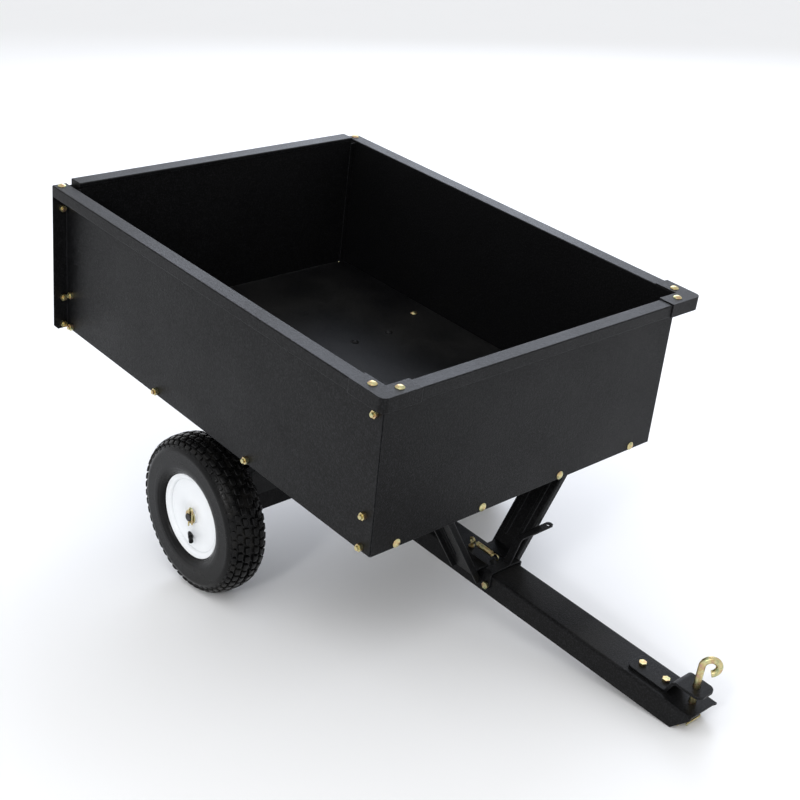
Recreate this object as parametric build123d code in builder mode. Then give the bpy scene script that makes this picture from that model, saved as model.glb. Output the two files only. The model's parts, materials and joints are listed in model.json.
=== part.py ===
from build123d import *
import math
import os

# A small steel dump cart. Everything is drawn with the cart standing level: +X to the hitch, +Y to
# the left, +Z up, origin at the middle of the axle, millimetres. The last step parks it on the floor
# with its drawbar nose down. SIDES gives the sign of Y for each hand.
SIDES = {"right": -1, "left": 1}

SHEET = 1.5            # bed sheet thickness
PLATE = 3.0            # tongue, strut and bracket plate thickness
CLEAR = 0.1            # gap between pieces that are bolted face to face

# bed
BED_REAR, BED_FRONT = -474.0, 494.6
BED_BOTTOM, RAIL_TOP = 187.5, 493.5
FLOOR_UNDER = BED_BOTTOM + 15.6         # the floor stands above the panels' lower edges
FLOOR_TOP = FLOOR_UNDER + SHEET
SKIRT = BED_BOTTOM + 1.0                # lower edge of the floor's turned-down sides
INSIDE, OUTSIDE = 350.0, 381.0        # half widths: side panel inner face and rail outer edge
LIP = 22.0
FRONT_LOW, FRONT_TOP = 473.5, 465.5   # inner face of the front panel at its foot and at its rail
FLANGE = 20.0                         # folded edges of the front panel

# axle and wheels
AXLE_R, AXLE_END = 8.0, 371.0
TRACK = 334.0                         # middle of the tyre from the middle of the cart
TYRE_R, TYRE_HALF = 155.0, 41.0
RIM_R, RIM_HALF = 84.0, 28.0
HUB_R, HUB_BORE = 14.0, 10.5
RUN = 0.05                            # radial clearance of turning fits

# tongue, hitch and latch
TONGUE_HALF, TONGUE_TOP, TONGUE_LOW = 36.0, 21.5, -20.5
TONGUE_REAR, TONGUE_TIP, TONGUE_HEEL = -60.0, 922.0, 889.0
HITCH_X, HITCH_R, PIN_R = 898.0, 7.0, 6.0
STRAP_HALF, STRAP_THICK, STRAP_RISE = 22.0, 5.0, 32.0
STRAP_TAIL, STRAP_BEND = 776.0, 858.0
LATCH_X, LATCH_R = 463.5, 4.0
STRUT_REAR, STRUT_FRONT, STRUT_LEAN = 385.0, 452.0, 31.0
STRUT_FOOT = 37.5

# fasteners
BOLT_R, BOLT_HOLE, HEAD_R, HEAD_HIGH, HEAD_RIM = 3.9, 4.1, 8.0, 4.2, 0.8
NUT_R, NUT_HIGH, THREAD_END = 7.2, 6.0, 4.0

# fastener places
SIDE_ROW = (-454.0, -145.0, 141.0, 451.0)          # along the foot of each side panel
SIDE_ROW_Z = BED_BOTTOM + 7.3
FRONT_CORNER_Z = (255.0, 441.0)
POST_Z = (265.0,)
POST_X = -454.0
REAR_FLANGE_Z = (197.5, 256.0, 445.0)
FRONT_ROW = (-295.0, -98.0, 98.0, 295.0)
CAP_SIDE_BOLT, CAP_FRONT_BOLT = (449.0, 364.0), (479.0, 335.0)
BRACKET_BOLTS = [(x, y) for x in (-104.0, 104.0) for y in (100.0, 192.0)]
STRUT_BOLTS = [(401.0, 183.0), (436.0, 183.0)]
RIB_X, RIB_BOLT_Y, RIB_HALF = -149.0, 304.0, 330.0
RAIL_BOLT = (-464.0, 366.0)               # on the rear end of each side rail

# guide posts, axle brackets, hitch strap, clips
POST_SLOT = -445.0                     # rear face of the guide strip inside the bed
POST_BACK = BED_REAR - CLEAR           # front face of the post's rear plate
BRACKET_IN, BRACKET_OUT = 70.0, 262.0
WALL_X, SHOULDER_Z, SPREAD_X = 24.0, 18.0, 87.0
BUSH_R = 11.0
STRAP_BOLTS = (792.0, 842.0)
ANCHOR_X, HOOK_X, SPRING_Z = 381.0, 445.0, 34.0
PIN_HOLE_Y, WIRE_R = 367.7, 1.6
CLIP_HOLE_Z, PIN_END = -13.2, -17.2

# The parked stance: the tyres and the heel of the tongue both touch the floor.
heel_reach = math.hypot(TONGUE_HEEL, TONGUE_LOW)
PITCH = math.degrees(math.asin(TYRE_R / heel_reach) - math.atan2(-TONGUE_LOW, TONGUE_HEEL))
PARKED = Location((0, 0, TYRE_R), (0, PITCH, 0))

finished = []


def keep(piece, name):
    """Park a finished piece and label it."""
    piece.part = piece.part.moved(PARKED)
    piece.part.label = name
    finished.append(piece)


def write_all():
    """Put the origin on the floor under the middle of the cart and write every piece."""
    os.makedirs("parts", exist_ok=True)
    boxes = [piece.part.bounding_box() for piece in finished]
    middle = (min(box.min.X for box in boxes) + max(box.max.X for box in boxes)) / 2
    for piece in finished:
        name = piece.part.label
        piece.part = piece.part.moved(Location((-middle, 0, 0)))
        piece.part.label = name
        export_step(piece.part, f"parts/{name}.step")
    print(f"pitch {PITCH:.4f} degrees, axle at x {-middle:.3f}")


def folded(points, side=Side.LEFT, thickness=SHEET, bend=2.0):
    """The section of a sheet folded along a line of points; the sheet lies on one side of it."""
    with BuildSketch() as section:
        with BuildLine():
            FilletPolyline(*points, radius=bend)
            offset(amount=thickness, side=side)
        make_face()
    return section.sketch


def across(y_high):
    """A plane facing -Y at a given Y, with its own x along X and its own y along Z."""
    return Plane.XZ.offset(-y_high)


def seat(origin, outward, along=(1, 0, 0)):
    """Where a fastener's head sits: its normal points out of the joint."""
    return Plane(origin=origin, x_dir=along, z_dir=outward)


def dome_middle():
    """The middle of a domed head's arc, on a sphere centred on the bolt's axis."""
    rise = HEAD_HIGH - HEAD_RIM
    ball = (HEAD_R ** 2 + rise ** 2) / (2 * rise)
    half = math.asin(HEAD_R / ball) / 2
    return ball * math.sin(half), HEAD_HIGH - ball + ball * math.cos(half)


def bolts(name, seats, grip, hex_head=False):
    """Bolts with washer-faced hex nuts, as separate solids of one node."""
    with BuildPart() as group:
        for spot in seats:
            axial = Plane(origin=spot.origin, x_dir=spot.x_dir, z_dir=-spot.y_dir)
            length = grip + NUT_HIGH + THREAD_END
            with BuildSketch(spot):
                Circle(BOLT_R)
            extrude(amount=-length)
            if hex_head:
                with BuildSketch(spot):
                    RegularPolygon(NUT_R, 6)
                extrude(amount=HEAD_HIGH)
            else:
                with BuildSketch(axial):
                    with BuildLine():
                        Polyline((0, HEAD_HIGH), (0, 0), (HEAD_R, 0), (HEAD_R, HEAD_RIM))
                        ThreePointArc((HEAD_R, HEAD_RIM), dome_middle(), (0, HEAD_HIGH))
                    make_face()
                revolve(axis=Axis(spot.origin, spot.z_dir))
            with BuildSketch(spot.offset(-grip - NUT_HIGH)):
                RegularPolygon(NUT_R, 6)
                Circle(BOLT_R + CLEAR, mode=Mode.SUBTRACT)
            extrude(amount=NUT_HIGH)
    keep(group, name)


def drill(planes, radius=BOLT_HOLE, depth=8.0):
    """Round cutters, both ways from each plane."""
    with BuildPart() as cutters:
        for plane in planes:
            with BuildSketch(plane):
                Circle(radius)
            extrude(amount=depth, both=True)
    return cutters.part


def side_seats(sign, spots):
    return [seat((x, sign * (INSIDE + SHEET), z), (0, sign, 0)) for x, z in spots]


def foot_spots():
    return [(x, SIDE_ROW_Z) for x in SIDE_ROW]


def corner_spots():
    return [(SIDE_ROW[-1], z) for z in FRONT_CORNER_Z]


def post_spots():
    return [(POST_X, z) for z in POST_Z]


def flange_seats(sign):
    return [seat((BED_REAR + SHEET, sign * (INSIDE + 11), z), (1, 0, 0), (0, 1, 0)) for z in REAR_FLANGE_Z]


def cap_seats(sign):
    top = RAIL_TOP + CLEAR + 2
    return [seat((x, sign * y, top), (0, 0, 1)) for x, y in (CAP_SIDE_BOLT, CAP_FRONT_BOLT)]


def floor_seats(spots):
    return [seat((x, y, FLOOR_TOP), (0, 0, 1)) for x, y in spots]


def front_at(z):
    """X of the front panel's inner face at a height."""
    rise = (z - BED_BOTTOM) / (RAIL_TOP - BED_BOTTOM)
    return FRONT_LOW + rise * (FRONT_TOP - FRONT_LOW)


def front_seats():
    z = SIDE_ROW_Z
    outward = (RAIL_TOP - BED_BOTTOM, 0, FRONT_LOW - FRONT_TOP)
    return [seat((front_at(z) + SHEET + CLEAR, y, z), outward, (0, 1, 0)) for y in FRONT_ROW]


def side_panel(hand, sign):
    """Side sheet with an outward top rail and an outward rear flange."""
    fold = Side.LEFT if sign < 0 else Side.RIGHT
    outer_face = sign * (INSIDE + SHEET)
    with BuildPart() as panel:
        with BuildSketch(across(max(sign * INSIDE, outer_face))):
            Polygon((BED_REAR, BED_BOTTOM), (FRONT_LOW, BED_BOTTOM), (FRONT_TOP, RAIL_TOP - 3),
                    (BED_REAR, RAIL_TOP - 3), align=None)
        extrude(amount=SHEET)
        with BuildSketch(Plane.YZ.offset(BED_REAR)):
            add(folded([(sign * INSIDE, RAIL_TOP - 30), (sign * INSIDE, RAIL_TOP),
                        (sign * OUTSIDE, RAIL_TOP), (sign * OUTSIDE, RAIL_TOP - LIP)], fold))
        extrude(amount=BED_FRONT - BED_REAR - 10)
        with BuildSketch(Plane.YZ.offset(BED_REAR)):
            Polygon((sign * INSIDE, BED_BOTTOM), (sign * (OUTSIDE - 9), BED_BOTTOM),
                    (sign * OUTSIDE, BED_BOTTOM + 9), (sign * OUTSIDE, RAIL_TOP - SHEET / 2),
                    (sign * INSIDE, RAIL_TOP - SHEET / 2), align=None)
        extrude(amount=SHEET)
        with BuildSketch(across(OUTSIDE)):
            Polygon((FRONT_TOP, RAIL_TOP - 40), (BED_FRONT, RAIL_TOP - 40), (BED_FRONT, RAIL_TOP - SHEET),
                    (FRONT_TOP, RAIL_TOP - SHEET), align=None)
        extrude(amount=2 * OUTSIDE, mode=Mode.SUBTRACT)
        add(drill(side_seats(sign, foot_spots() + corner_spots() + post_spots())
                  + flange_seats(sign) + cap_seats(sign)[:1]), mode=Mode.SUBTRACT)
        add(drill([seat((RAIL_BOLT[0], sign * RAIL_BOLT[1], RAIL_TOP), (0, 0, 1))]), mode=Mode.SUBTRACT)
    keep(panel, f"side_panel_{hand}")


def front_panel():
    """Front sheet with a forward top rail and side edges folded back inside the side panels."""
    half = INSIDE - CLEAR
    with BuildPart() as panel:
        with BuildSketch(across(half)):
            add(folded([(FRONT_LOW + CLEAR, BED_BOTTOM), (FRONT_TOP + CLEAR, RAIL_TOP),
                        (BED_FRONT, RAIL_TOP), (BED_FRONT, RAIL_TOP - LIP)], Side.RIGHT))
        extrude(amount=2 * half)
        for high in (half, -half + SHEET):
            with BuildSketch(across(high)):
                Polygon((front_at(BED_BOTTOM) - FLANGE - 12, BED_BOTTOM + 2),
                        (front_at(BED_BOTTOM) + 0.5, BED_BOTTOM + 2),
                        (front_at(RAIL_TOP - 24) + 0.5, RAIL_TOP - 24),
                        (front_at(RAIL_TOP - 24) - FLANGE - 12, RAIL_TOP - 36), align=None)
            extrude(amount=SHEET)
        spots = foot_spots()[-1:] + corner_spots()
        seats = side_seats(-1, spots) + side_seats(1, spots) + front_seats()
        seats += cap_seats(-1)[1:] + cap_seats(1)[1:]
        add(drill(seats), mode=Mode.SUBTRACT)
    keep(panel, "front_panel")



def floor_panel():
    """Floor tray with its sides and front turned down inside the panels, notched around the rear posts."""
    wide = INSIDE - CLEAR
    front = FRONT_LOW - FLANGE - 16
    with BuildPart() as tray:
        with BuildSketch(Plane.YZ.offset(BED_REAR)):
            add(folded([(-wide, SKIRT), (-wide, FLOOR_TOP), (wide, FLOOR_TOP), (wide, SKIRT)], Side.RIGHT))
        extrude(amount=front - BED_REAR)
        with BuildSketch(across(wide - SHEET - 2)):
            add(folded([(front - 20, FLOOR_TOP), (front_at(FLOOR_TOP), FLOOR_TOP), (front_at(SKIRT), SKIRT)],
                       Side.RIGHT))
        extrude(amount=2 * (wide - SHEET - 2))
        with BuildSketch(Plane.XY.offset(BED_BOTTOM)):
            for sign in SIDES.values():
                Polygon((BED_REAR, sign * (wide - 17)), (POST_SLOT + 4, sign * (wide - 17)),
                        (POST_SLOT + 4, sign * OUTSIDE), (BED_REAR, sign * OUTSIDE), align=None)
        extrude(amount=FLANGE, mode=Mode.SUBTRACT)
        seats = side_seats(-1, foot_spots()[1:-1]) + side_seats(1, foot_spots()[1:-1]) + front_seats()
        bolt_spots = [(x, sign * y) for sign in SIDES.values() for x, y in BRACKET_BOLTS + STRUT_BOLTS]
        bolt_spots += [(RIB_X, -RIB_BOLT_Y), (RIB_X, RIB_BOLT_Y)]
        add(drill(seats + floor_seats(bolt_spots)), mode=Mode.SUBTRACT)
    keep(tray, "floor_panel")


def corner_cap(hand, sign):
    """Folded L-shaped cover over one front corner of the rails."""
    leg, wide, thick = 80.0, 33.0, 2.0
    x_edge, y_edge = BED_FRONT + thick + CLEAR, OUTSIDE + thick + CLEAR
    under = RAIL_TOP + CLEAR

    def plan(x_out, y_out, length):
        return [(x_out - length, sign * y_out), (x_out, sign * y_out), (x_out, sign * (y_out - length)),
                (x_out - wide, sign * (y_out - length)), (x_out - wide, sign * (y_out - wide)),
                (x_out - length, sign * (y_out - wide))]

    with BuildPart() as cap:
        with BuildSketch(Plane.XY.offset(under + thick)):
            Polygon(*plan(x_edge, y_edge, leg), align=None)
        extrude(amount=-(LIP + thick + 2))
        outer = cap.edges().filter_by(Axis.Z).sort_by(lambda edge: edge.center().X + sign * edge.center().Y)
        fillet(outer[-1], 12)
        with BuildSketch(Plane.XY.offset(under)) as inside:
            Polygon(*plan(x_edge - thick, y_edge - thick, leg + 9), align=None)
            corner = inside.vertices().sort_by(lambda point: point.X + sign * point.Y)[-1]
            fillet(corner, 10)
        extrude(amount=-LIP - 9, mode=Mode.SUBTRACT)
        add(drill(cap_seats(sign)), mode=Mode.SUBTRACT)
    keep(cap, f"corner_cap_{hand}")


def guide_post(hand, sign):
    """Rear corner post: a plate behind the side panel's flange and a slot the tailgate slides in."""
    wall = sign * (INSIDE - CLEAR)
    low, high = SKIRT, RAIL_TOP - 5.5
    inward = Side.LEFT if sign < 0 else Side.RIGHT
    with BuildPart() as post:
        with BuildSketch(Plane.XY.offset(low)):
            Polygon((POST_BACK - SHEET, sign * 340), (POST_BACK - SHEET, sign * 372),
                    (POST_BACK, sign * 372), (POST_BACK, sign * 340), align=None)
            add(folded([(POST_BACK - SHEET, wall), (POST_SLOT + SHEET, wall),
                        (POST_SLOT + SHEET, wall - sign * 13)], inward, bend=1.6))
        extrude(amount=high - low)
        cuts = side_seats(sign, post_spots() + foot_spots()[:1]) + flange_seats(sign)
        add(drill(cuts), mode=Mode.SUBTRACT)
    keep(post, f"guide_post_{hand}")


def tailgate():
    """Pan-shaped gate that lifts out of the posts, with a top rail that overhangs both ways."""
    top, half, rail_half = RAIL_TOP + 8, 344.0, 339.5
    face = POST_SLOT - 0.5
    low = FLOOR_TOP + 0.3
    with BuildPart() as gate:
        with BuildSketch(Plane.XY.offset(low)):
            add(folded([(face - 19, -half), (face, -half), (face, half), (face - 19, half)], Side.LEFT))
        extrude(amount=RAIL_TOP - 14 - low)
        with BuildSketch(across(rail_half)):
            add(folded([(BED_REAR - 1, top - LIP), (BED_REAR - 1, top), (BED_REAR + 31, top),
                        (BED_REAR + 31, top - 7)], Side.RIGHT))
        extrude(amount=2 * rail_half)
        with BuildSketch(across(rail_half)):
            Polygon((face - SHEET, low), (face, low), (face, top - SHEET), (face - SHEET, top - SHEET),
                    align=None)
        extrude(amount=2 * rail_half)
        for end in (-rail_half, rail_half - SHEET):
            with BuildSketch(Plane.XZ.offset(-end - SHEET)):
                Polygon((BED_REAR - 0.5, top - LIP + 2), (BED_REAR - 0.5, top - 0.5), (face, top - 0.5),
                        (face, top - LIP + 2), align=None)
            extrude(amount=SHEET)
    keep(gate, "tailgate")


def bracket_outline():
    return [(WALL_X, TONGUE_LOW), (WALL_X, SHOULDER_Z), (SPREAD_X, FLOOR_UNDER - CLEAR),
            (SPREAD_X + 32, FLOOR_UNDER - CLEAR)]


def axle_bracket(hand, sign):
    """Folded trestle that hangs under the bed and turns on the axle."""
    outline = bracket_outline()
    high = max(sign * BRACKET_IN, sign * BRACKET_OUT)
    with BuildPart() as bracket:
        with BuildSketch(across(high)):
            add(folded(outline, Side.RIGHT, PLATE, bend=6))
            mirror(about=Plane.YZ)
        extrude(amount=BRACKET_OUT - BRACKET_IN)
        for cheek in (BRACKET_IN, BRACKET_OUT - PLATE):
            with BuildSketch(across(max(sign * cheek, sign * (cheek + PLATE)))):
                Polygon((-WALL_X - 0.5, TONGUE_LOW), (WALL_X + 0.5, TONGUE_LOW), (WALL_X + 0.5, SHOULDER_Z),
                        (SPREAD_X - 2, FLOOR_UNDER - 6), (-SPREAD_X + 2, FLOOR_UNDER - 6),
                        (-WALL_X - 0.5, SHOULDER_Z), align=None)
                Circle(BUSH_R, mode=Mode.SUBTRACT)
                with Locations((0, 105)):
                    SlotOverall(76, 42, mode=Mode.SUBTRACT)
            extrude(amount=PLATE)
        add(drill(floor_seats([(x, sign * y) for x, y in BRACKET_BOLTS]), BOLT_HOLE, 8), mode=Mode.SUBTRACT)
    keep(bracket, f"axle_bracket_{hand}")


def bracket_bushes(hand, sign):
    """Flanged bushes in the cheeks of a bracket."""
    with BuildPart() as bushes:
        for cheek, outward in ((BRACKET_IN, -1), (BRACKET_OUT - PLATE, 1)):
            low = cheek - (4 if outward < 0 else 0)
            with BuildSketch(across(max(sign * low, sign * (low + PLATE + 4)))):
                Circle(BUSH_R - RUN)
                Circle(AXLE_R + RUN, mode=Mode.SUBTRACT)
            extrude(amount=PLATE + 4)
            collar = cheek - 2 - CLEAR if outward < 0 else cheek + PLATE + CLEAR
            with BuildSketch(across(max(sign * collar, sign * (collar + 2)))):
                Circle(BUSH_R + 4)
                Circle(AXLE_R + RUN, mode=Mode.SUBTRACT)
            extrude(amount=2)
    keep(bushes, f"axle_bushes_{hand}")


def floor_rib():
    """Hat-section stiffener under the floor."""
    low, half, wing, deep = FLOOR_UNDER - CLEAR, 16.0, 12.0, 18.0
    with BuildPart() as rib:
        with BuildSketch(across(RIB_HALF)):
            add(folded([(RIB_X - half - wing, low - SHEET), (RIB_X - half, low - SHEET),
                        (RIB_X - half + 6, low - deep), (RIB_X + half - 6, low - deep),
                        (RIB_X + half, low - SHEET), (RIB_X + half + wing, low - SHEET)], Side.LEFT, bend=1.6))
        extrude(amount=2 * RIB_HALF)
        add(drill(floor_seats([(RIB_X, RIB_BOLT_Y), (RIB_X, -RIB_BOLT_Y)]), BOLT_HOLE, 26), mode=Mode.SUBTRACT)
    keep(rib, "floor_rib")


def strut(hand, sign):
    """Leaning, ribbed channel that carries the front of the bed down beside the tongue."""
    lean = math.radians(STRUT_LEAN)
    along = Vector(0, sign * math.sin(lean), math.cos(lean))
    middle, half = (STRUT_REAR + STRUT_FRONT) / 2, (STRUT_FRONT - STRUT_REAR) / 2
    base = Plane(origin=(middle, sign * STRUT_FOOT, 0), x_dir=(1, 0, 0), z_dir=along)
    outward = 1 if base.y_dir.Y * sign > 0 else -1
    web = Plane(origin=base.origin, x_dir=(1, 0, 0), z_dir=base.y_dir * outward)
    up = 1 if web.y_dir.Z > 0 else -1
    length = FLOOR_UNDER / math.cos(lean)
    fold = Side.LEFT if outward > 0 else Side.RIGHT
    with BuildPart() as leg:
        with BuildSketch(base.offset(-20)):
            add(folded([(-half, outward * 13), (-half, 0), (half, 0), (half, outward * 13)],
                       fold, PLATE, bend=3.5))
        extrude(amount=length + 40)
        for x in (-15.0, 15.0):
            with BuildSketch(web.offset(1)):
                with Locations((x, up * length * 0.56)):
                    SlotOverall(length * 0.72, 8, rotation=90)
            extrude(amount=-3)
            with BuildSketch(web.offset(PLATE)):
                with Locations((x, up * length * 0.56)):
                    SlotOverall(length * 0.70, 4.5, rotation=90)
            extrude(amount=-2.4, mode=Mode.SUBTRACT)
        split(bisect_by=Plane.XY, keep=Keep.TOP)
        split(bisect_by=Plane.XY.offset(FLOOR_UNDER - CLEAR), keep=Keep.BOTTOM)
        y_top = STRUT_FOOT + FLOOR_UNDER * math.tan(lean)
        with BuildSketch(Plane.XY.offset(FLOOR_UNDER - CLEAR)):
            Polygon((STRUT_REAR, sign * (y_top - 1)), (STRUT_FRONT, sign * (y_top - 1)),
                    (STRUT_FRONT, sign * (y_top + 42)), (STRUT_REAR, sign * (y_top + 42)), align=None)
        extrude(amount=-PLATE)
        y_foot = STRUT_FOOT + (TONGUE_TOP + 2) * math.tan(lean) + 2
        with BuildSketch(Plane.XY.offset(TONGUE_TOP + 0.5)):
            Polygon((STRUT_REAR + 8, sign * 20), (STRUT_FRONT - 8, sign * 20),
                    (STRUT_FRONT - 8, sign * y_foot), (STRUT_REAR + 8, sign * y_foot), align=None)
        extrude(amount=PLATE)
        add(drill(floor_seats([(x, sign * y) for x, y in STRUT_BOLTS]), BOLT_HOLE, 9), mode=Mode.SUBTRACT)
    keep(leg, f"bed_strut_{hand}")


def tongue():
    """Downward-open channel from the axle to the hitch, its nose cut back at the foot."""
    with BuildPart() as drawbar:
        with BuildSketch(Plane.YZ.offset(TONGUE_REAR)):
            add(folded([(-TONGUE_HALF, TONGUE_LOW), (-TONGUE_HALF, TONGUE_TOP), (TONGUE_HALF, TONGUE_TOP),
                        (TONGUE_HALF, TONGUE_LOW)], Side.RIGHT, PLATE, bend=5))
        extrude(amount=TONGUE_TIP - TONGUE_REAR)
        with BuildSketch(across(TONGUE_HALF + 1)):
            Polygon((TONGUE_HEEL, TONGUE_LOW - 1), (TONGUE_TIP + 1, TONGUE_TOP - PLATE - 2),
                    (TONGUE_TIP + 1, TONGUE_LOW - 1), align=None)
        extrude(amount=2 * TONGUE_HALF + 2, mode=Mode.SUBTRACT)
        add(drill([Plane.XZ], AXLE_R + RUN, 60), mode=Mode.SUBTRACT)
        add(drill([Plane.XZ.shift_origin((LATCH_X, 0, 0))], LATCH_R + 0.1, 60), mode=Mode.SUBTRACT)
        holes = [seat((x, 0, TONGUE_TOP), (0, 0, 1)) for x in STRAP_BOLTS + (ANCHOR_X,)]
        add(drill(holes, BOLT_HOLE, 12), mode=Mode.SUBTRACT)
        add(drill([seat((HITCH_X, 0, TONGUE_TOP), (0, 0, 1))], HITCH_R, 12), mode=Mode.SUBTRACT)
    keep(drawbar, "tongue")


def hitch_strap():
    """Z-bent upper hitch plate bolted on the tongue."""
    low = TONGUE_TOP + CLEAR
    with BuildPart() as strap:
        with BuildSketch(across(STRAP_HALF)):
            add(folded([(STRAP_TAIL, low), (STRAP_BEND, low), (STRAP_BEND + 13, low + STRAP_RISE - STRAP_THICK),
                        (TONGUE_TIP, low + STRAP_RISE - STRAP_THICK)], Side.LEFT, STRAP_THICK, bend=7))
        extrude(amount=2 * STRAP_HALF)
        upright = strap.edges().filter_by(Axis.Z)
        fillet(upright.group_by(Axis.X)[0], 10)
        fillet(strap.edges().filter_by(Axis.Z).group_by(Axis.X)[-1], 13)
        holes = [seat((x, 0, low + 2), (0, 0, 1)) for x in STRAP_BOLTS]
        add(drill(holes, BOLT_HOLE, 9), mode=Mode.SUBTRACT)
        add(drill([seat((HITCH_X, 0, low + STRAP_RISE), (0, 0, 1))], HITCH_R, 12), mode=Mode.SUBTRACT)
    keep(strap, "hitch_strap")


def axle():
    with BuildPart() as bar:
        with BuildSketch(across(AXLE_END)):
            Circle(AXLE_R)
        extrude(amount=2 * AXLE_END)
        chamfer(bar.edges().filter_by(GeomType.CIRCLE), 1)
        spots = [Plane.XY.shift_origin((0, sign * PIN_HOLE_Y, 0)) for sign in SIDES.values()]
        add(drill(spots, 2.0, 20), mode=Mode.SUBTRACT)
    keep(bar, "axle")


def axle_spacers():
    """Tubes on the axle between tongue, brackets and wheels."""
    spans = ((TONGUE_HALF + 0.3, BRACKET_IN - 5), (BRACKET_OUT + 6, TRACK - 33))
    with BuildPart() as tubes:
        for sign in SIDES.values():
            for inner, outer in spans:
                with BuildSketch(across(max(sign * inner, sign * outer))):
                    Circle(12)
                    Circle(AXLE_R + RUN, mode=Mode.SUBTRACT)
                extrude(amount=outer - inner)
    keep(tubes, "axle_spacers")


def wheel_washers():
    with BuildPart() as washers:
        for sign in SIDES.values():
            low = TRACK + 29.5
            with BuildSketch(across(max(sign * low, sign * (low + 2)))):
                Circle(14)
                Circle(AXLE_R + RUN, mode=Mode.SUBTRACT)
            extrude(amount=2)
    keep(washers, "wheel_washers")


def clip_wire(plane, straight, reach, throat):
    """A hairpin clip: a straight leg on the plane's y, a round eye and a second leg that hugs the shaft."""
    with BuildLine(plane) as wire:
        Line((0, -straight), (0, reach))
        CenterArc((throat / 2, reach), throat / 2, 180, -180)
        Line((throat, reach), (throat, -straight * 0.4))
        JernArc((throat, -straight * 0.4), (0, -1), 6, 40)
    return wire.line


def wheel_clips():
    """Hairpin clips that hold the wheels on."""
    with BuildPart() as clips:
        for sign in SIDES.values():
            frame = Plane(origin=(0, sign * PIN_HOLE_Y, 0), x_dir=(1, 0, 0), z_dir=(0, -1, 0))
            path = clip_wire(frame, 19, 17, AXLE_R + WIRE_R + 0.4)
            with BuildSketch(Plane(origin=path @ 0, z_dir=path % 0)):
                Circle(WIRE_R)
            sweep(path=path)
    keep(clips, "wheel_clips")


def hitch_pin():
    """Drop pin with a curled top, turned to face forward and to the left."""
    curl = 14.0
    side = Plane(origin=(HITCH_X, 0, 0), x_dir=(1, 1, 0), z_dir=(1, -1, 0))
    with BuildPart() as pin:
        with BuildLine(side) as line:
            shank = Line((0, PIN_END), (0, 96))
            CenterArc((curl, 96), curl, 180, -255)
        with BuildSketch(Plane(origin=shank @ 0, z_dir=shank % 0)):
            Circle(PIN_R)
        sweep(path=line.line)
        chamfer(pin.edges().sort_by(Axis.Z)[0], 1.5)
        add(drill([across(0).shift_origin((HITCH_X, 0, CLIP_HOLE_Z))], 2.0, 10), mode=Mode.SUBTRACT)
    keep(pin, "hitch_pin")


def hitch_clip():
    """Hairpin clip through the foot of the hitch pin; its eye is on the left."""
    with BuildPart() as clip:
        flat = Plane(origin=(HITCH_X, 0, CLIP_HOLE_Z), x_dir=(1, 0, 0), z_dir=(0, 0, 1))
        path = clip_wire(flat, 29, 20, PIN_R + WIRE_R + 0.4)
        with BuildSketch(Plane(origin=path @ 0, z_dir=path % 0)):
            Circle(WIRE_R)
        sweep(path=path)
    keep(clip, "hitch_clip")


def latch_lever():
    """Bent-plate latch: it straddles the tongue on a cross bolt and carries a handle to the left."""
    low, inner = -9.0, TONGUE_HALF + 0.6
    over = TONGUE_TOP + 4.5
    rear, front = STRUT_FRONT + 1.5, 471.5
    grip_y, grip_z = 118.0, over + 48
    with BuildPart() as lever:
        with BuildSketch(Plane.YZ.offset(rear)):
            add(folded([(-inner, low), (-inner, over), (inner, over), (inner, low)], Side.LEFT, PLATE, bend=3))
        extrude(amount=front - rear)
        with BuildSketch(Plane.YZ.offset(rear + 2)):
            add(folded([(2, over), (10, over), (32, grip_z), (grip_y, grip_z)], Side.LEFT, PLATE, bend=5))
        extrude(amount=front - rear - 3)
        grip_end = lever.edges().filter_by(Axis.Z).group_by(Axis.Y)[-1]
        fillet(grip_end, 7.4)
        with BuildSketch(Plane.XY.offset(over)):
            Polygon((HOOK_X - 6, -11), (HOOK_X - 6, 11), (rear + 2, 16), (rear + 2, -16), align=None)
        extrude(amount=PLATE)
        ears = lever.edges().filter_by(Axis.Y).group_by(Axis.Z)[0]
        fillet(ears, 8)
        add(drill([Plane.XZ.shift_origin((LATCH_X, 0, 0))], LATCH_R + RUN, 60), mode=Mode.SUBTRACT)
        add(drill([seat((HOOK_X, 0, over), (0, 0, 1))], 2.6, 8), mode=Mode.SUBTRACT)
        hand_hole = seat((rear + 9.5, grip_y - 10, grip_z), (0, 0, 1))
        add(drill([hand_hole], 3.5, 8), mode=Mode.SUBTRACT)
    keep(lever, "latch_lever")


def latch_bolt():
    """Cross bolt the latch turns on, with its lock nut."""
    head_y = TONGUE_HALF + PLATE + 0.6 + 0.5
    with BuildPart() as bolt:
        frame = Plane.XZ.shift_origin((LATCH_X, 0, 0))
        with BuildSketch(frame.offset(head_y)):
            Circle(LATCH_R)
        extrude(amount=-(2 * head_y + 13))
        with BuildSketch(frame.offset(head_y)):
            RegularPolygon(NUT_R, 6)
        extrude(amount=4.5)
        with BuildSketch(frame.offset(-head_y)):
            RegularPolygon(NUT_R, 6)
            Circle(LATCH_R + CLEAR, mode=Mode.SUBTRACT)
        extrude(amount=-7)
    keep(bolt, "latch_bolt")


def spring_anchor():
    """Eye screw on the tongue that holds the rear end of the latch spring."""
    with BuildPart() as eye:
        with Locations((ANCHOR_X, 0, TONGUE_TOP + CLEAR)):
            Cylinder(6, 2, align=(Align.CENTER, Align.CENTER, Align.MIN))
            with Locations((0, 0, -12)):
                Cylinder(3, SPRING_Z - TONGUE_TOP + 8, align=(Align.CENTER, Align.CENTER, Align.MIN))
        with Locations((ANCHOR_X, 0, SPRING_Z + 1)):
            Torus(5.0, 1.8, rotation=(90, 0, 0))
    keep(eye, "spring_anchor")


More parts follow.
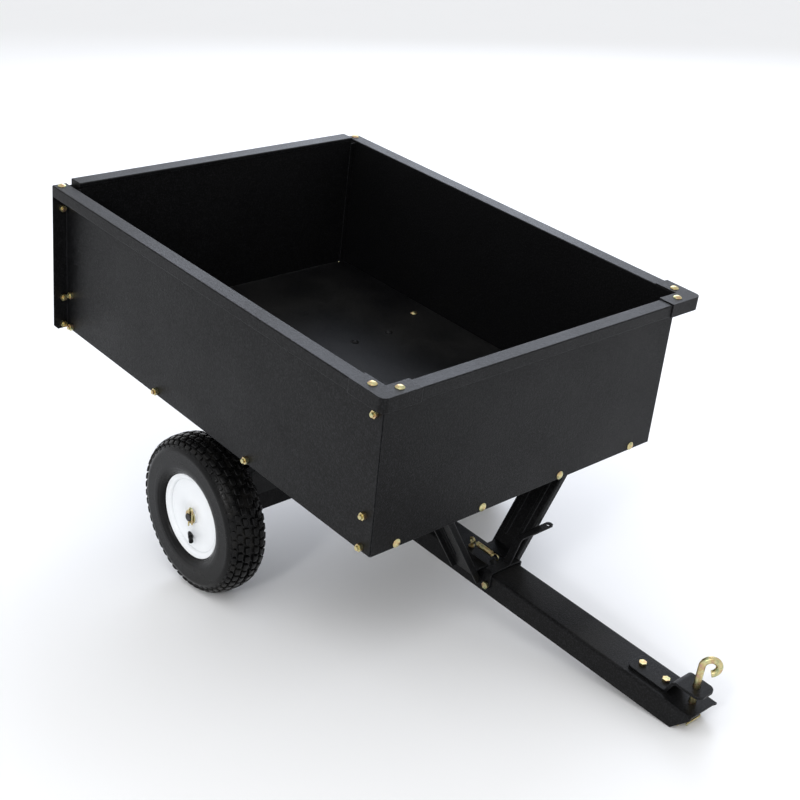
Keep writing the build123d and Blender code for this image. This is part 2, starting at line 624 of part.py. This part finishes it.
def latch_spring():
    """Extension spring from the anchor to the latch; the coils are close wound."""
    start, end, coil_r = ANCHOR_X + 10, HOOK_X - 9, 5.5
    with BuildPart() as spring:
        with BuildSketch(Plane.YZ.offset(start)):
            with Locations((0, SPRING_Z)):
                Circle(coil_r)
                Circle(coil_r - 1.6, mode=Mode.SUBTRACT)
        extrude(amount=end - start)
    keep(spring, "latch_spring")


def wheel_frame(sign):
    """The wheel's own plane: local x is outward along the axle, local y is radial."""
    return Plane(origin=(0, sign * TRACK, 0), x_dir=(0, sign, 0), z_dir=(sign, 0, 0))


def tyre(hand, sign):
    """Hollow tyre carcass with rounded shoulders, open to the rim."""
    frame = wheel_frame(sign)
    with BuildPart() as carcass:
        with BuildSketch(frame):
            with BuildLine():
                ThreePointArc((0, TYRE_R), (13, TYRE_R - 0.8), (25, TYRE_R - 3.2))
                ThreePointArc((25, TYRE_R - 3.2), (32.5, TYRE_R - 7), (36.5, TYRE_R - 14))
                ThreePointArc((36.5, TYRE_R - 14), (TYRE_HALF, 112), (27.2, 85.5))
                Polyline((27.2, 85.5), (23.4, 75.5), (17.5, 75.5))
                ThreePointArc((17.5, 75.5), (33.5, 112), (29, TYRE_R - 18))
                ThreePointArc((29, TYRE_R - 18), (16, TYRE_R - 9.5), (0, TYRE_R - 8))
                Line((0, TYRE_R - 8), (0, TYRE_R))
            make_face()
            mirror(about=Plane.YZ)
        revolve(axis=Axis.Y)
    keep(carcass, f"{hand}_tyre")


def rim(hand, sign):
    """Rolled rim barrel with bead seats and curled flanges."""
    half = [(8, 66), (12, 73.5), (24.5, 74.8), (RIM_HALF, RIM_R)]
    points = [(-x, y) for x, y in reversed(half)] + half
    with BuildPart() as barrel:
        with BuildSketch(wheel_frame(sign)):
            add(folded(points, Side.RIGHT, 2.5, bend=2.0))
        revolve(axis=Axis.Y)
    keep(barrel, f"{hand}_rim")


def wheel_disc(hand, sign):
    """Dished disc pressed into the outer side of the rim, with a hole for the valve."""
    with BuildPart() as disc:
        with BuildSketch(wheel_frame(sign)):
            add(folded([(20, 70.8), (25.5, 70.8), (21, 62), (17.5, 48), (24.5, 24), (24.5, HUB_R + CLEAR)],
                       Side.RIGHT, 2.5, bend=2.6))
        revolve(axis=Axis.Y)
        add(drill([valve_plane(sign)], 5.6, 20), mode=Mode.SUBTRACT)
    keep(disc, f"{hand}_wheel_disc")


def valve_plane(sign):
    """Where the valve stem leaves the disc: below the hub, leaning out of the wheel."""
    return Plane(origin=(-9, sign * (TRACK + 22), -52), x_dir=(0, 0, 1), z_dir=(0.86, sign * 0.5, -0.05))


def valve(hand, sign):
    base = valve_plane(sign)
    with BuildPart() as stem:
        with BuildSketch(base.offset(-9)):
            Circle(4.8)
        extrude(amount=14)
        with BuildSketch(base.offset(5)):
            Circle(3.4)
        extrude(amount=6)
        with BuildSketch(base.offset(11)):
            Circle(4.4)
        extrude(amount=7)
    keep(stem, f"{hand}_valve")


def hub(hand, sign):
    """Welded hub tube through the disc and a rear hub plate that ties it to the rim barrel."""
    frame = wheel_frame(sign)
    with BuildPart() as tube:
        with BuildSketch(frame):
            Polygon((-30, HUB_BORE), (28, HUB_BORE), (28, HUB_R), (-12, HUB_R), (-12, 63.2), (-14.5, 63.2),
                    (-14.5, HUB_R), (-30, HUB_R), align=None)
        revolve(axis=Axis.Y)
    keep(tube, f"{hand}_hub")


def hub_bushes(hand, sign):
    """Plastic bushes pressed into both ends of the hub."""
    with BuildPart() as bushes:
        for mouth, inward in ((28 + CLEAR, -1), (-30 - CLEAR, 1)):
            with BuildSketch(wheel_frame(sign)):
                Polygon((mouth, AXLE_R + RUN), (mouth - inward * 1.2, AXLE_R + RUN), (mouth - inward * 1.2, HUB_R),
                        (mouth, HUB_R), align=None)
                Polygon((mouth, AXLE_R + RUN), (mouth + inward * 18, AXLE_R + RUN),
                        (mouth + inward * 18, HUB_BORE - CLEAR / 2), (mouth, HUB_BORE - CLEAR / 2), align=None)
            revolve(axis=Axis.Y)
    keep(bushes, f"{hand}_hub_bushes")


def nut_outside(seats, grip):
    """Turn head seats round, for bolts whose heads are inside and nuts outside."""
    return [Plane(origin=spot.origin - spot.z_dir * grip, x_dir=spot.x_dir,
                  z_dir=-spot.z_dir) for spot in seats]


def all_bolts():
    """Every bolt group of the bed and the hitch."""
    two_sheets = 2 * SHEET + CLEAR
    for hand, sign in SIDES.items():
        spots = foot_spots() + corner_spots() + post_spots()
        bolts(f"side_bolts_{hand}", nut_outside(side_seats(sign, spots), two_sheets), two_sheets)
        bolts(f"post_bolts_{hand}", nut_outside(flange_seats(sign), two_sheets), two_sheets)
        bolts(f"cap_bolts_{hand}", cap_seats(sign), 2 + CLEAR + SHEET)
        brackets = [(x, sign * y) for x, y in BRACKET_BOLTS]
        bolts(f"bracket_bolts_{hand}", floor_seats(brackets), SHEET + CLEAR + PLATE)
        struts = [(x, sign * y) for x, y in STRUT_BOLTS]
        bolts(f"strut_bolts_{hand}", floor_seats(struts), SHEET + CLEAR + PLATE)
    rails = [seat((RAIL_BOLT[0], sign * RAIL_BOLT[1], RAIL_TOP), (0, 0, 1)) for sign in SIDES.values()]
    bolts("rail_bolts", rails, SHEET)
    bolts("front_bolts", front_seats(), two_sheets)
    bolts("rib_bolts", floor_seats([(RIB_X, -RIB_BOLT_Y), (RIB_X, RIB_BOLT_Y)]), two_sheets)
    strap = [seat((x, 0, TONGUE_TOP + CLEAR + STRAP_THICK), (0, 0, 1)) for x in STRAP_BOLTS]
    bolts("strap_bolts", strap, STRAP_THICK + CLEAR + PLATE, hex_head=True)


front_panel()
floor_panel()
floor_rib()
tailgate()
tongue()
hitch_strap()
hitch_pin()
hitch_clip()
axle()
axle_spacers()
wheel_washers()
wheel_clips()
latch_lever()
latch_bolt()
latch_spring()
spring_anchor()
all_bolts()
for hand, sign in SIDES.items():
    for make in (side_panel, corner_cap, guide_post, axle_bracket, bracket_bushes, strut):
        make(hand, sign)
    for make in (tyre, rim, wheel_disc, valve, hub, hub_bushes):
        make(hand, sign)

write_all()
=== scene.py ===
"""Looks of a steel tow behind dump cart: black powder coat, block-tread tyres, white wheels, plated hardware."""
import json
import math

import bmesh
import bpy
from mathutils import Matrix, Vector


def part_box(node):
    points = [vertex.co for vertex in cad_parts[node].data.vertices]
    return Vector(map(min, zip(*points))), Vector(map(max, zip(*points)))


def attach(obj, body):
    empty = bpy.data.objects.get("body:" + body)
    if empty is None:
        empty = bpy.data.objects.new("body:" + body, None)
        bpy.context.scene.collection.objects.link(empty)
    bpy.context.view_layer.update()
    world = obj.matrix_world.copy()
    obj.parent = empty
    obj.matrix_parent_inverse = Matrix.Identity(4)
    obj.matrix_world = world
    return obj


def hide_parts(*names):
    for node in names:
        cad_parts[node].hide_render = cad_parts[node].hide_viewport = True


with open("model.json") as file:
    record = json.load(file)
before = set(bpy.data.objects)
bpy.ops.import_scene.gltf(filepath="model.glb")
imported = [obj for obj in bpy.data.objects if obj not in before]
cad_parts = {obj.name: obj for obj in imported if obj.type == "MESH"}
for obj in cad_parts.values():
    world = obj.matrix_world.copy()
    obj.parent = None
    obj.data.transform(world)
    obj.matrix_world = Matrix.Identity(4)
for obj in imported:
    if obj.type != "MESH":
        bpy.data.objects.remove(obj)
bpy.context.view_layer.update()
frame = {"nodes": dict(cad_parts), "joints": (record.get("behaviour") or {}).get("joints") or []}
MM = 0.001
TAU = 2 * math.pi
SIDES = (("right", -1), ("left", 1))

# The cart's own level frame: x towards the hitch, y to the left, z up, origin in the middle of the axle.
joints = {j["name"]: j for j in frame["joints"]}
up = Vector(joints["tailgate_lift"]["axis"]).normalized()
left = Vector((0, 1, 0))
axle_low, axle_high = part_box("axle")
AXLE = (axle_low + axle_high) / 2
LEVEL = Matrix.Translation(AXLE) @ Matrix((left.cross(up), left, up)).transposed().to_4x4()


def level(x, y, z):
    """A point given in the level frame in millimetres, in the row frame in metres."""
    return LEVEL @ Vector((x * MM, y * MM, z * MM))


# ---------------------------------------------------------------- materials

class Graph:
    """A material's node tree, with short calls for the nodes used here."""

    def __init__(self, name, colour, roughness, metallic=0.0, specular=0.5):
        self.mat = bpy.data.materials.new(name)
        self.mat.use_nodes = True
        self.tree = self.mat.node_tree
        self.bsdf = self.tree.nodes["Principled BSDF"]
        self.bsdf.inputs["Base Color"].default_value = (*colour, 1)
        self.bsdf.inputs["Roughness"].default_value = roughness
        self.bsdf.inputs["Metallic"].default_value = metallic
        self.bsdf.inputs["Specular IOR Level"].default_value = specular
        self.coords = self.tree.nodes.new("ShaderNodeTexCoord").outputs["Object"]

    def node(self, kind, settings=None, **inputs):
        n = self.tree.nodes.new("ShaderNode" + kind)
        for key, value in (settings or {}).items():
            setattr(n, key, value)
        for key, value in inputs.items():
            socket = n.inputs[int(key[1:])] if key[0] == "i" and key[1:].isdigit() else n.inputs[key]
            self.put(value, socket)
        return n

    def put(self, value, socket):
        if isinstance(value, bpy.types.NodeSocket):
            self.tree.links.new(value, socket)
        else:
            socket.default_value = value

    def noise(self, scale, detail=2.0, rough=0.5, coords=None):
        n = self.node("TexNoise", Scale=scale, Detail=detail, Roughness=rough)
        self.tree.links.new(coords or self.coords, n.inputs["Vector"])
        return n.outputs["Fac"]

    def math(self, op, a, b=0.0, clamp=False):
        return self.node("Math", {"operation": op, "use_clamp": clamp}, i0=a, i1=b).outputs[0]

    def remap(self, value, low, high, to_low=0.0, to_high=1.0):
        n = self.node("MapRange", {"clamp": True}, Value=value)
        for key, number in (("From Min", low), ("From Max", high), ("To Min", to_low), ("To Max", to_high)):
            n.inputs[key].default_value = number
        return n.outputs["Result"]

    def ramp(self, value, stops):
        n = self.node("ValToRGB", Fac=value)
        marks = n.color_ramp.elements
        while len(marks) < len(stops):
            marks.new(0.5)
        for mark, (place, colour) in zip(marks, stops):
            mark.position, mark.color = place, (*colour, 1)
        return n.outputs["Color"]

    def mix(self, share, a, b):
        n = self.node("Mix", {"data_type": "RGBA"}, Factor=share)
        for socket, colour in ((n.inputs[6], a), (n.inputs[7], b)):
            self.put((*colour, 1) if isinstance(colour, tuple) else colour, socket)
        return n.outputs[2]

    def edge(self, radius):
        """0 on flat faces, rising towards 1 on sharp edges, and the rounded normal."""
        soft = self.node("Bevel", {"samples": 4}, Radius=radius).outputs["Normal"]
        flat = self.node("NewGeometry").outputs["Normal"]
        dot = self.node("VectorMath", {"operation": "DOT_PRODUCT"}, i0=soft, i1=flat).outputs["Value"]
        return self.math("SUBTRACT", 1.0, dot, clamp=True), soft

    def axle_distance(self):
        """Distance of the shaded point from the axle's line, in metres."""
        centred = self.node("VectorMath", {"operation": "SUBTRACT"}, i0=self.coords, i1=tuple(AXLE)).outputs["Vector"]
        flat = self.node("VectorMath", {"operation": "MULTIPLY"}, i0=centred, i1=(1, 0, 1)).outputs["Vector"]
        return self.node("VectorMath", {"operation": "LENGTH"}, i0=flat).outputs["Value"]

    def facing_up(self):
        """The z of the surface normal: 1 on level faces, 0 on upright ones."""
        normal = self.node("NewGeometry").outputs["Normal"]
        return self.node("SeparateXYZ", Vector=normal).outputs["Z"]

    def bump(self, height, strength, distance, normal=None):
        n = self.node("Bump", Height=height, Strength=strength, Distance=distance)
        if normal is not None:
            self.tree.links.new(normal, n.inputs["Normal"])
        return n.outputs["Normal"]

    def out(self, **sockets):
        names = {"colour": "Base Color", "roughness": "Roughness", "normal": "Normal", "metallic": "Metallic"}
        for key, value in sockets.items():
            self.tree.links.new(value, self.bsdf.inputs[names[key]])
        return self.mat


def powder_coat():
    """Black textured powder coat: fine orange peel, painted edge highlights, a little dust on level faces."""
    g = Graph("black_powder_coat", (0.008, 0.008, 0.009), 0.40, specular=0.13)
    grain, cloud, chips = g.noise(340, 4, 0.7), g.noise(7, 4), g.noise(160, 5, 0.65)
    edge, soft = g.edge(0.0016)
    # Paler, bluish edges broken up by noise: a painted edge highlight.
    wear_and_edge_highlight = g.math("MULTIPLY", g.remap(edge, 0.02, 0.25), g.remap(chips, 0.40, 0.60, 0.25, 1.0))
    speck = g.remap(grain, 0.48, 0.64)
    base = g.mix(speck, (0.0020, 0.0020, 0.0022), (0.0130, 0.0132, 0.0143))
    dust = g.math("MULTIPLY", g.remap(g.facing_up(), 0.6, 1.0), g.remap(cloud, 0.42, 0.75, 0.0, 0.35))
    base = g.mix(dust, base, (0.030, 0.029, 0.027))
    # Colour of the painted edge highlight.
    base = g.mix(wear_and_edge_highlight, base, (0.050, 0.052, 0.057))
    rough = g.math("ADD", g.remap(cloud, 0.3, 0.7, 0.36, 0.46), g.remap(chips, 0.3, 0.7, -0.03, 0.03))
    return g.out(colour=base, roughness=rough, normal=g.bump(grain, 0.6, 0.0008, soft))


def enamel():
    """Glossy white wheel enamel with faint peel, road dust in specks, and darker patches near the hub and flange."""
    g = Graph("white_enamel", (0.86, 0.87, 0.88), 0.2)
    radius = g.axle_distance()
    peel, cloud, fleck = g.noise(260, 2), g.noise(22, 4, 0.6), g.noise(700, 2)
    # Darker, brownish cloudy patches towards the hub and the flange, plus fine dust specks.
    rims = g.math("MAXIMUM", g.remap(radius, 0.020, 0.032, 1.0, 0.0), g.remap(radius, 0.076, 0.084))
    darkening = g.math("MULTIPLY", g.math("ADD", g.math("MULTIPLY", rims, 0.30), 0.05), g.remap(cloud, 0.35, 0.7))
    darkening = g.math("ADD", darkening, g.remap(fleck, 0.70, 0.76, 0.0, 0.25), clamp=True)
    base = g.mix(darkening, (0.85, 0.87, 0.885), (0.33, 0.31, 0.28))
    soft = g.edge(0.001)[1]
    rough = g.remap(cloud, 0.3, 0.7, 0.16, 0.28)
    return g.out(colour=base, roughness=rough, normal=g.bump(peel, 0.06, 0.0006, soft))


def rubber(name, dusty):
    """Tyre rubber: nearly black, satin, with dust held in the grooves and faint mould grain."""
    g = Graph(name, (0.005, 0.005, 0.005), 0.27, specular=0.16)
    grain, cloud = g.noise(900, 3, 0.6), g.noise(28, 4, 0.6)
    base = g.mix(g.remap(cloud, 0.35, 0.7), (0.0022, 0.0022, 0.0024), (0.0058, 0.0057, 0.0056))
    rough = g.remap(cloud, 0.3, 0.7, 0.20, 0.34)
    if dusty:
        radius = g.axle_distance()
        groove = g.math("MULTIPLY", g.remap(radius, 0.138, 0.146), g.remap(radius, 0.1495, 0.1520, 1.0, 0.0))
        dust = g.math("MULTIPLY", groove, g.remap(cloud, 0.45, 0.75, 0.0, 0.2))
        base = g.mix(dust, base, (0.060, 0.054, 0.046))
    return g.out(colour=base, roughness=rough, normal=g.bump(grain, 0.25, 0.0004))


def zinc():
    """Yellow zinc plating: pale brass with drifting straw and grey-green tints and light tumbling marks."""
    g = Graph("yellow_zinc", (0.72, 0.62, 0.38), 0.3, metallic=1.0)
    tint, marks, grain = g.noise(120, 3), g.noise(420, 4, 0.7), g.noise(1500, 2)
    base = g.ramp(tint, [(0.30, (0.33, 0.38, 0.20)), (0.46, (0.62, 0.56, 0.30)),
                         (0.58, (0.55, 0.42, 0.20)), (0.72, (0.52, 0.32, 0.26))])
    base = g.mix(g.remap(marks, 0.60, 0.72, 0.0, 0.5), base, (0.16, 0.13, 0.08))
    soft = g.edge(0.0006)[1]
    rough = g.remap(marks, 0.3, 0.7, 0.24, 0.42)
    return g.out(colour=base, roughness=rough, normal=g.bump(grain, 0.12, 0.0003, soft))


def dark_steel():
    """Blackened steel with thin bare marks along its edges."""
    g = Graph("dark_steel", (0.045, 0.043, 0.042), 0.42, metallic=0.85)
    marks, grain = g.noise(300, 4, 0.7), g.noise(1300, 2)
    edge, soft = g.edge(0.0008)
    wear_and_edge_highlight = g.math("MULTIPLY", g.remap(edge, 0.02, 0.3), g.remap(marks, 0.42, 0.62))
    base = g.mix(g.remap(marks, 0.4, 0.7), (0.030, 0.029, 0.029), (0.075, 0.068, 0.060))
    base = g.mix(wear_and_edge_highlight, base, (0.40, 0.38, 0.35))
    rough = g.remap(marks, 0.3, 0.7, 0.34, 0.52)
    return g.out(colour=base, roughness=rough, normal=g.bump(grain, 0.2, 0.0003, soft))


def nylon():
    """Moulded nylon bushes, off-white with a faint flow pattern and grease stain."""
    g = Graph("nylon", (0.60, 0.58, 0.52), 0.45)
    cloud, grain = g.noise(90, 4), g.noise(900, 2)
    base = g.mix(g.remap(cloud, 0.4, 0.7), (0.60, 0.58, 0.52), (0.32, 0.29, 0.23))
    return g.out(colour=base, roughness=g.remap(cloud, 0.3, 0.7, 0.38, 0.5), normal=g.bump(grain, 0.1, 0.0003))


FINISH = {"black_powder_coat": powder_coat(), "white_enamel": enamel(), "tyre_rubber": rubber("tyre_rubber", True),
          "valve_rubber": rubber("valve_rubber", False), "nylon": nylon(), "yellow_zinc": zinc(),
          "dark_steel": dark_steel()}
for node in frame["nodes"].values():
    for place in node.material_slots:
        base_name = place.material.name.split(".")[0]
        place.material = FINISH.get(base_name, FINISH["black_powder_coat"])


# ---------------------------------------------------------------- mesh helpers

def make(name, mesh, body, finish, smooth=math.radians(35), replaces=()):
    """A finished mesh, already in the row frame, as a piece that rides on a body."""
    piece = bpy.data.objects.new(name, mesh)
    bpy.context.scene.collection.objects.link(piece)
    mesh.materials.append(FINISH[finish])
    mesh.shade_smooth()
    mesh.set_sharp_from_angle(angle=smooth)
    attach(piece, body)
    if replaces:
        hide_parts(*replaces)
    return piece


def tube_mesh(name, points, radius, sides, steps):
    """A round wire along a smooth line through points given in the level frame in millimetres."""
    curve = bpy.data.curves.new(name, "CURVE")
    curve.dimensions, curve.bevel_depth, curve.bevel_resolution = "3D", radius * MM, sides
    curve.use_fill_caps, curve.resolution_u = True, steps
    line = curve.splines.new("NURBS")
    line.points.add(len(points) - 1)
    for target, p in zip(line.points, points):
        target.co = (*level(*p), 1)
    line.order_u, line.use_endpoint_u = 4, True
    holder = bpy.data.objects.new(name + "_line", curve)
    bpy.context.scene.collection.objects.link(holder)
    mesh = bpy.data.meshes.new_from_object(holder.evaluated_get(bpy.context.evaluated_depsgraph_get()))
    bpy.data.objects.remove(holder)
    mesh.materials.clear()
    return mesh


def around_axle(r, y, angle):
    """A point at a radius, side offset and angle about the axle, in the row frame."""
    return LEVEL @ Vector((r * math.cos(angle) * MM, y * MM, r * math.sin(angle) * MM))


def close_rings(bm, rings):
    """Faces between closed rings of vertices, the last ring joined to the first."""
    for a, b in zip(rings, rings[1:] + rings[:1]):
        for i in range(len(a)):
            j = (i + 1) % len(a)
            bm.faces.new((a[i], a[j], b[j], b[i]))


def mesh_from(bm, name, outward=True):
    """The finished mesh, with its normals turned outwards unless told otherwise."""
    if outward:
        bmesh.ops.recalc_face_normals(bm, faces=bm.faces)
    mesh = bpy.data.meshes.new(name)
    bm.to_mesh(mesh)
    bm.free()
    return mesh


# ---------------------------------------------------------------- tyres

TYRE_R, TYRE_HALF, TREAD = 155.0, 41.0, 5.0
BEAD_R, BEAD_Y, WIDEST_R = 84.6, 27.4, 113.0
AROUND = 144
BLOCKS, BLOCK_CORNERS, SQUARENESS, BLOCK_ROOT = 50, 16, 0.42, 1.2
# Rows of the half tread: t of the middle, half height in t, first angle in block spacings, half length and
# height in mm.
TREAD_ROWS = [(0.058, 0.036, 0.0, 6.9, TREAD), (0.165, 0.042, 0.5, 6.9, TREAD),
              (0.264, 0.036, 0.0, 6.5, TREAD - 1.0), (0.338, 0.018, 0.5, 4.8, 1.0)]
# Raised rings on the sidewall: radius, height and width in mm.
SIDE_RINGS = ((98.0, 0.7, 1.4), (92.5, 0.5, 1.0), (131.0, 0.45, 1.2))
SIDE_RINGS_FROM, WIDE_Y, WIDE_TRIM = 0.3, 40.4, 0.4
tyre_low, tyre_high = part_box("left_tyre")
TRACK = ((tyre_low.y + tyre_high.y) / 2 - AXLE.y) / MM


def carcass_point(t):
    """Radius and side offset of the carcass; t runs 0 at the crown to 1 at the bead."""
    if t < 0.5:
        turn = t * math.pi
        y = TYRE_HALF * math.sin(turn) ** 0.86
        r = WIDEST_R + (TYRE_R - TREAD - WIDEST_R) * max(math.cos(turn), 0.0) ** 0.52
    else:
        turn = (t - 0.5) * math.pi
        y = BEAD_Y + (TYRE_HALF - BEAD_Y) * math.cos(turn) ** 0.8 if turn < math.pi / 2 else BEAD_Y
        r = WIDEST_R - (WIDEST_R - BEAD_R) * math.sin(turn) ** 1.1
    for ring_r, height, width in SIDE_RINGS:
        trim = WIDE_TRIM if y > WIDE_Y else 0.0
        rise = height * math.exp(-((r - ring_r) / width) ** 2) if t > SIDE_RINGS_FROM else 0.0
        y += rise - trim
    return r, min(y, TYRE_HALF)


def carcass_frame(t):
    """Point on the carcass and its outward direction, both as (radius, side)."""
    step = 0.004
    (r0, y0), (r1, y1) = carcass_point(max(t - step, 0)), carcass_point(min(t + step, 1))
    length = math.hypot(r1 - r0, y1 - y0)
    r, y = carcass_point(t)
    return r, y, (y1 - y0) / length, (r0 - r1) / length


def rounded_square(angle):
    """A point on a square with rounded corners that reaches 1 on each side."""
    return tuple(math.copysign(abs(c) ** SQUARENESS, c) for c in (math.cos(angle), math.sin(angle)))


def tread_block(bm, row, middle, side, centre_y):
    """One rounded block, from inside the carcass to its top, at an angle about the axle."""
    t_mid, t_half, _, half_long, high = row
    rings = []
    for size, lift in ((1.0, -BLOCK_ROOT), (1.0, high - 0.8), (0.94, high - 0.25), (0.84, high), (0.42, high)):
        ring = []
        for c in range(BLOCK_CORNERS):
            u, v = rounded_square(TAU * (c + 0.5) / BLOCK_CORNERS)
            r, y, nr, ny = carcass_frame(t_mid + v * size * t_half)
            angle = middle + u * size * half_long / r
            r_out = min(r + nr * lift, TYRE_R)
            ring.append(bm.verts.new(around_axle(r_out, centre_y + side * (y + ny * lift), angle)))
        rings.append(ring)
    for low, high_ring in zip(rings, rings[1:]):
        for c in range(BLOCK_CORNERS):
            d = (c + 1) % BLOCK_CORNERS
            bm.faces.new((low[c], low[d], high_ring[d], high_ring[c]))
    bm.faces.new(rings[-1])
    bm.faces.new(rings[0][::-1])


def tyre_mesh(name, sign):
    """Carcass of revolution with a ring of rounded tread blocks in every row."""
    bm = bmesh.new()
    centre_y = sign * TRACK
    outer = [carcass_point(i / 40) for i in range(41)]
    inner = [(r - 7 if r > WIDEST_R else r, max(y - 5, 4.0 if r < 100 else 0.0)) for r, y in outer[::-1]]
    inner[0] = (outer[-1][0] - 8, BEAD_Y - 5)
    half = outer + inner
    loop = [(r, y) for r, y in half if y > 0.01] + [(r, -y) for r, y in half[::-1] if y > 0.01]
    close_rings(bm, [[bm.verts.new(around_axle(r, centre_y + y, TAU * k / AROUND)) for r, y in loop]
                     for k in range(AROUND)])
    for row in TREAD_ROWS:
        for side in (1, -1):
            stagger = row[2] + (0.25 if side < 0 else 0)
            for k in range(BLOCKS):
                tread_block(bm, row, TAU * (k + stagger) / BLOCKS, side, centre_y)
    return mesh_from(bm, name)


for hand, sign in SIDES:
    make(f"{hand}_treaded_tyre", tyre_mesh(f"{hand}_treaded_tyre", sign), f"{hand}_wheel", "tyre_rubber",
         smooth=math.radians(50), replaces=(f"{hand}_tyre",))


# ---------------------------------------------------------------- wheel discs

DISC = [(82.0, 27.0), (78.0, 25.4), (73.5, 22.4), (67.0, 20.0), (58.0, 18.6), (48.0, 18.2), (38.0, 19.4),
        (29.0, 22.4), (22.0, 24.8), (17.0, 25.6), (14.2, 25.7)]
DISC_SHEET, DISC_TURNS = 2.2, 96


def disc_mesh(name, sign):
    """Smoothly dished wheel face with its inner side, turned about the axle."""
    bm = bmesh.new()
    loop = DISC + [(r, y - DISC_SHEET) for r, y in DISC[::-1]]
    close_rings(bm, [[bm.verts.new(around_axle(r, sign * (TRACK + y), TAU * k / DISC_TURNS)) for r, y in loop]
                     for k in range(DISC_TURNS)])
    return mesh_from(bm, name)


for hand, sign in SIDES:
    disc = make(f"{hand}_dished_disc", disc_mesh(f"{hand}_dished_disc", sign), f"{hand}_wheel", "white_enamel",
                replaces=(f"{hand}_wheel_disc",))
    rounding = disc.modifiers.new("rounding", "SUBSURF")
    rounding.levels = rounding.render_levels = 1


# ---------------------------------------------------------------- latch spring

def coil_spring():
    """Close-wound extension spring with a hook at each end, along the top of the tongue."""
    low, high = (LEVEL.inverted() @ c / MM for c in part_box("latch_spring"))
    start, end = min(low.x, high.x) + 2, max(low.x, high.x) - 2
    z = (low.z + high.z) / 2
    coil_r, wire, per_turn = 4.5, 0.9, 12
    turns = int((end - start) / (2 * wire + 0.12))
    eye, tab = start - 11, end + 10
    points = [(eye + 4, 0, z + 5), (eye, 0, z + 5), (eye - 3, 0, z + 2), (eye, 0, z - 1), (eye + 5, 0, z)]
    for i in range(turns * per_turn + 1):
        a = TAU * i / per_turn
        along = start + (end - start) * i / (turns * per_turn)
        points.append((along, coil_r * math.cos(a), z + coil_r * math.sin(a)))
    hook_r = 6.5
    for i in range(9):
        a = math.radians(150 - 36 * i)
        points.append((tab + hook_r * math.cos(a), 0.25 * i - 1, z - 1 + hook_r * math.sin(a)))
    return tube_mesh("latch_spring_coil", points, wire, sides=3, steps=2)


make("latch_spring_coil", coil_spring(), "chassis", "yellow_zinc", replaces=("latch_spring",))


# ---------------------------------------------------------------- stage, light and camera

def stage_floor():
    """Wide pale floor with a faint, even mottling."""
    g = Graph("pale_floor", (0.95, 0.95, 0.95), 0.6, specular=0.2)
    cloud = g.noise(1.4, 4)
    g.out(colour=g.mix(g.remap(cloud, 0.3, 0.7), (0.948, 0.948, 0.948), (0.955, 0.955, 0.955)))
    bm = bmesh.new()
    bmesh.ops.create_grid(bm, x_segments=8, y_segments=8, size=45)
    mesh = mesh_from(bm, "floor", outward=False)
    floor = bpy.data.objects.new("floor", mesh)
    bpy.context.scene.collection.objects.link(floor)
    mesh.materials.append(g.mat)


def soft_light(name, place, aim, size, power, colour=(1, 1, 1)):
    """Round area light, aimed at a point and hidden from the camera."""
    light = bpy.data.lights.new(name, "AREA")
    light.shape, light.size, light.energy, light.color = "DISK", size, power, colour
    lamp = bpy.data.objects.new(name, light)
    bpy.context.scene.collection.objects.link(lamp)
    lamp.location = place
    lamp.rotation_euler = (Vector(aim) - Vector(place)).to_track_quat("-Z", "Y").to_euler()
    lamp.visible_camera = False


stage_floor()
AIM = (0.0, 0.0, 0.35)
soft_light("sky_panel", (-3.4, 3.8, 3.9), AIM, 4.5, 200, (0.80, 0.86, 1.0))
soft_light("key", (2.6, -2.4, 4.2), AIM, 3.0, 34)
soft_light("fill", (1.5, -3.2, 1.9), AIM, 0.5, 24)

world = bpy.data.worlds.new("studio")
world.use_nodes = True
world.node_tree.nodes["Background"].inputs["Color"].default_value = (0.97, 0.98, 1.0, 1)
world.node_tree.nodes["Background"].inputs["Strength"].default_value = 0.92
bpy.context.scene.world = world
bpy.context.scene.view_settings.view_transform = "Standard"

AZIMUTH, ELEVATION, ROLL = math.radians(47.883), math.radians(22.161), math.radians(0.514)
DISTANCE, LENS, SENSOR = 2.5642, 62.05, 36.0
TARGET = Vector((-0.0332, -0.0276, 0.3650))
back = Vector((math.sin(AZIMUTH) * math.cos(ELEVATION), -math.cos(AZIMUTH) * math.cos(ELEVATION),
               math.sin(ELEVATION)))
camera_data = bpy.data.cameras.new("camera")
camera_data.lens, camera_data.sensor_width = LENS, SENSOR
camera = bpy.data.objects.new("camera", camera_data)
bpy.context.scene.collection.objects.link(camera)
turned = Matrix.Rotation(ROLL, 4, back) @ back.to_track_quat("Z", "Y").to_matrix().to_4x4()
camera.matrix_world = Matrix.Translation(TARGET + back * DISTANCE) @ turned
bpy.context.scene.camera = camera
